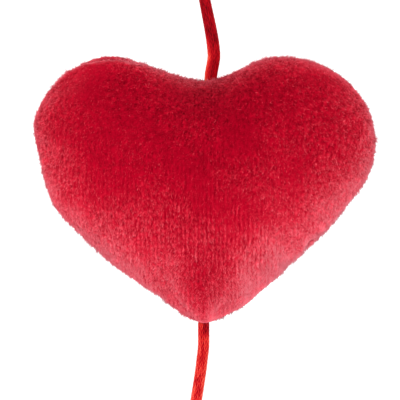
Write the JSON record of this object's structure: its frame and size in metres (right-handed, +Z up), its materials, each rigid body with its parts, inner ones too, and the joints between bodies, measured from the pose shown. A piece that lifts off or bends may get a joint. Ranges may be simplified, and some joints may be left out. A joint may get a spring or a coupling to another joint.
{
  "type": "plush heart hanging ornament",
  "caption": "Stuffed plush heart on a satin cord, with a hanging loop above it and a knotted end of cord below it.",
  "frame": {"origin": "underside of the top of the hanging loop, where a hook carries it", "axes": "+Z up, the heart's front faces -Y, +X to the right seen from the front"},
  "size_m": [0.08, 0.032, 0.1772],
  "materials": {
    "plush": "short-pile knitted plush, crimson with a pink sheen",
    "satin_cord": "satin rattail cord, red",
    "sewing_thread": "polyester sewing thread, crimson",
    "fibre_fill": "loose white polyester fibre"
  },
  "bodies": {
    "hanger": {"hanging_loop": "satin_cord"},
    "knot": {"loop_knot": "satin_cord"},
    "strand": {"upper_cord": "satin_cord"},
    "neck": {"notch_cord": "satin_cord"},
    "heart": {"front_panel": "plush", "back_panel": "plush", "stuffing": "fibre_fill", "right_seam_thread": "sewing_thread", "left_seam_thread": "sewing_thread", "tip_seam_thread": "sewing_thread", "closing_thread": "sewing_thread", "notch_tack": "sewing_thread", "tip_tack": "sewing_thread", "inner_cord": "satin_cord"},
    "tail_root": {"tip_cord": "satin_cord"},
    "tail": {"lower_cord": "satin_cord", "end_knot": "satin_cord"}
  },
  "joints": [
    {"name": "swing_side", "type": "hinge", "parent": "hanger", "child": "knot", "pos_m": [-0.0013, 0, -0.03325], "axis": [0, 1, 0], "range_deg": [-45, 45]},
    {"name": "swing_front", "type": "hinge", "parent": "knot", "child": "strand", "pos_m": [-0.0013, 0, -0.0394], "axis": [1, 0, 0], "range_deg": [-45, 45]},
    {"name": "heart_lean", "type": "hinge", "parent": "strand", "child": "neck", "pos_m": [0.0015, 0, -0.0714], "axis": [0, 1, 0], "range_deg": [-30, 30]},
    {"name": "heart_twist", "type": "hinge", "parent": "neck", "child": "heart", "pos_m": [0.0015, 0, -0.07505], "axis": [0, 0, 1], "range_deg": [-180, 180]},
    {"name": "tail_front", "type": "hinge", "parent": "heart", "child": "tail_root", "pos_m": [-0.0002, 0, -0.1299], "axis": [1, 0, 0], "range_deg": [-60, 60]},
    {"name": "tail_side", "type": "hinge", "parent": "tail_root", "child": "tail", "pos_m": [-0.0002, 0, -0.13375], "axis": [0, 1, 0], "range_deg": [-60, 60]}
  ]
}
